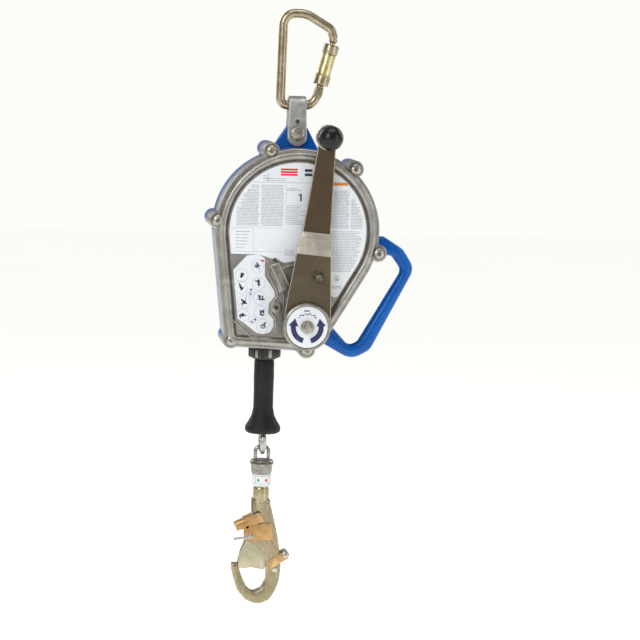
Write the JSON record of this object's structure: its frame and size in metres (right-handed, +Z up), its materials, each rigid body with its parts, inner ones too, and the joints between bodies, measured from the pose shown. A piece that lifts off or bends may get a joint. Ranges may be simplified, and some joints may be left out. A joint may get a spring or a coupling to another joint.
{
  "type": "self retracting lifeline",
  "caption": "Self retracting lifeline with retrieval crank: carabiner, strap, two-part cast case with carry handle, wire rope, bumper, swivel and double-action snap hook.",
  "frame": {"origin": "the anchor seat, the inside top of the carabiner bar that hangs on an anchor", "axes": "+Z up along the hanging part, +X to the right seen from the crank side, -Y out of the crank side"},
  "size_m": [0.232, 0.1465, 0.6603],
  "materials": {
    "zinc_steel": "pale gold zinc plating",
    "bolt_steel": "bright steel",
    "blue_paint": "gloss blue",
    "cast_cover": "satin cast aluminium",
    "gasket_rubber": "matte",
    "label_film": "printed film",
    "gear_steel": "machined",
    "cast_drum": "cast",
    "bush_bronze": "bearing bronze",
    "wire_rope": "galvanised wire",
    "friction_lining": "brake lining",
    "black_plastic": "black",
    "dark_arm": "dark bronze steel",
    "hub_metal": "satin",
    "plunger_steel": "dark",
    "knob_black": "gloss black",
    "bumper_rubber": "black rubber",
    "plated_steel": "nickel plated",
    "indicator_white": "white band with green and red marks",
    "hook_zinc": "yellow chromate zinc",
    "gate_zinc": "yellow chromate zinc",
    "lever_orange": "orange chromate zinc",
    "rivet_steel": "plated"
  },
  "bodies": {
    "carabiner": {"carabiner_body": "zinc_steel"},
    "carabiner_gate_arm": {"carabiner_gate": "zinc_steel", "carabiner_rivet": "zinc_steel"},
    "carabiner_lock": {"carabiner_sleeve": "zinc_steel"},
    "strap": {"suspension_strap": "zinc_steel", "strap_bolt": "bolt_steel", "strap_nut": "bolt_steel"},
    "housing": {"rear_housing": "blue_paint", "handle_grip": "blue_paint", "front_cover": "cast_cover", "cover_gasket": "gasket_rubber", "cover_bolts": "bolt_steel", "main_label": "label_film", "pictogram_label": "label_film", "main_shaft": "bolt_steel", "shaft_nut": "bolt_steel", "lifeline_lead": "wire_rope", "guide_roller_pin": "bolt_steel", "power_spring": "gear_steel", "spring_cup": "bolt_steel", "brake_ratchet_ring": "gear_steel", "friction_discs": "friction_lining", "brake_pressure_plate": "bolt_steel", "cable_nozzle": "black_plastic", "cable_guide": "bush_bronze", "crank_bushes": "bush_bronze", "ratchet_pawl_pin": "bolt_steel"},
    "drum": {"drum": "cast_drum", "drum_gear": "gear_steel", "gear_screws": "bolt_steel", "drum_bushes": "bush_bronze", "wound_cable": "wire_rope", "pawl_pins": "bolt_steel"},
    "pawl_1": {"brake_pawl_1": "gear_steel"},
    "pawl_2": {"brake_pawl_2": "gear_steel"},
    "pawl_3": {"brake_pawl_3": "gear_steel"},
    "roller": {"guide_roller": "black_plastic"},
    "ratchet_catch": {"crank_ratchet_pawl": "gear_steel"},
    "crank": {"crank_shaft": "bolt_steel", "crank_pinion": "gear_steel", "crank_ratchet_wheel": "gear_steel", "crank_arm": "dark_arm", "crank_hub_disc": "hub_metal", "hub_label": "label_film", "hub_nut": "bolt_steel", "knob_stud": "bolt_steel"},
    "plunger": {"arm_lock_plunger": "plunger_steel"},
    "knob": {"knob_ball": "knob_black"},
    "lifeline": {"lifeline_cable": "wire_rope", "bumper": "bumper_rubber", "cable_ferrule": "plated_steel", "thimble": "plated_steel"},
    "swivel": {"swivel_bail": "plated_steel", "swivel_body": "plated_steel", "impact_indicator": "indicator_white", "swivel_stud": "plated_steel"},
    "hook": {"hook_body": "hook_zinc", "hook_rivets": "rivet_steel"},
    "snap_gate": {"hook_gate": "gate_zinc"},
    "snap_lock": {"hook_lock_lever": "lever_orange"}
  },
  "joints": [
    {"name": "carabiner_gate_hinge", "type": "hinge", "parent": "carabiner", "child": "carabiner_gate_arm", "pos_m": [0.0251, 0, -0.0835], "axis": [0, -1, 0], "range_deg": [0, 25], "stiffness_Nm_per_rad": 0.05, "springref_deg": -22.92},
    {"name": "carabiner_sleeve_twist", "type": "hinge", "parent": "carabiner_gate_arm", "child": "carabiner_lock", "pos_m": [0.0251, 0, -0.0835], "axis": [0.2533, 0, 0.9674], "range_deg": [0, 90], "stiffness_Nm_per_rad": 0.004, "springref_deg": -28.65},
    {"name": "strap_swing", "type": "hinge", "parent": "carabiner", "child": "strap", "pos_m": [0.0025, 0, -0.0952], "axis": [1, 0, 0], "range_deg": [-35, 35]},
    {"name": "housing_swing", "type": "hinge", "parent": "strap", "child": "housing", "pos_m": [0.0025, 0, -0.1255], "axis": [0, -1, 0], "range_deg": [-35, 35]},
    {"name": "lifeline_pull", "type": "slide", "parent": "housing", "child": "lifeline", "axis": [0, 0, -1], "range_m": [0, 0.05], "stiffness_N_per_m": 30, "springref_m": -0.7},
    {"name": "drum_spin", "type": "hinge", "parent": "housing", "child": "drum", "pos_m": [0.0025, 0, -0.231], "axis": [0, -1, 0], "continuous": true},
    {"name": "crank_turn", "type": "hinge", "parent": "housing", "child": "crank", "pos_m": [0.012, -0.06, -0.33256], "axis": [0, -1, 0], "range_deg": [-193, 0.5]},
    {"name": "roller_spin", "type": "hinge", "parent": "housing", "child": "roller", "pos_m": [-0.0374, 0, -0.316], "axis": [0, -1, 0], "continuous": true},
    {"name": "brake_pawl_1_swing", "type": "hinge", "parent": "drum", "child": "pawl_1", "pos_m": [0.0025, 0.03, -0.195], "axis": [0, 1, 0], "range_deg": [0, 12], "stiffness_Nm_per_rad": 0.01, "springref_deg": -17.19},
    {"name": "brake_pawl_2_swing", "type": "hinge", "parent": "drum", "child": "pawl_2", "pos_m": [-0.02868, 0.03, -0.249], "axis": [0, 1, 0], "range_deg": [0, 12], "stiffness_Nm_per_rad": 0.01, "springref_deg": -17.19},
    {"name": "brake_pawl_3_swing", "type": "hinge", "parent": "drum", "child": "pawl_3", "pos_m": [0.03368, 0.03, -0.249], "axis": [0, 1, 0], "range_deg": [0, 12], "stiffness_Nm_per_rad": 0.01, "springref_deg": -17.19},
    {"name": "ratchet_catch_swing", "type": "hinge", "parent": "housing", "child": "ratchet_catch", "pos_m": [-0.018, -0.021, -0.344], "axis": [0, -1, 0], "range_deg": [0, 15], "stiffness_Nm_per_rad": 0.01, "springref_deg": -17.19},
    {"name": "arm_lock_pull", "type": "slide", "parent": "crank", "child": "plunger", "axis": [0, -1, 0], "range_m": [0, 0.006], "stiffness_N_per_m": 400, "springref_m": -0.005},
    {"name": "knob_spin", "type": "hinge", "parent": "crank", "child": "knob", "pos_m": [0.03103, -0.078, -0.12744], "axis": [0, -1, 0], "continuous": true},
    {"name": "bail_swing", "type": "hinge", "parent": "lifeline", "child": "swivel", "pos_m": [-0.026, 0, -0.4742], "axis": [1, 0, 0], "range_deg": [-40, 40]},
    {"name": "hook_swivel", "type": "hinge", "parent": "swivel", "child": "hook", "pos_m": [-0.026, 0, -0.54], "axis": [0, 0, 1], "continuous": true},
    {"name": "hook_gate_hinge", "type": "hinge", "parent": "hook", "child": "snap_gate", "pos_m": [-0.0371, 0, -0.574], "axis": [0, -1, 0], "range_deg": [0, 25], "stiffness_Nm_per_rad": 0.03, "springref_deg": -22.92},
    {"name": "hook_lock_press", "type": "hinge", "parent": "hook", "child": "snap_lock", "pos_m": [-0.0371, 0, -0.574], "axis": [0, -1, 0], "range_deg": [0, 8], "stiffness_Nm_per_rad": 0.05, "springref_deg": -22.92}
  ],
  "couplings": [
    {"joint": "drum_spin", "follows": "lifeline_pull", "rad_per_m": 18.518},
    {"joint": "crank_turn", "follows": "lifeline_pull", "rad_per_m": -67.34},
    {"joint": "roller_spin", "follows": "lifeline_pull", "rad_per_m": -87.719}
  ]
}
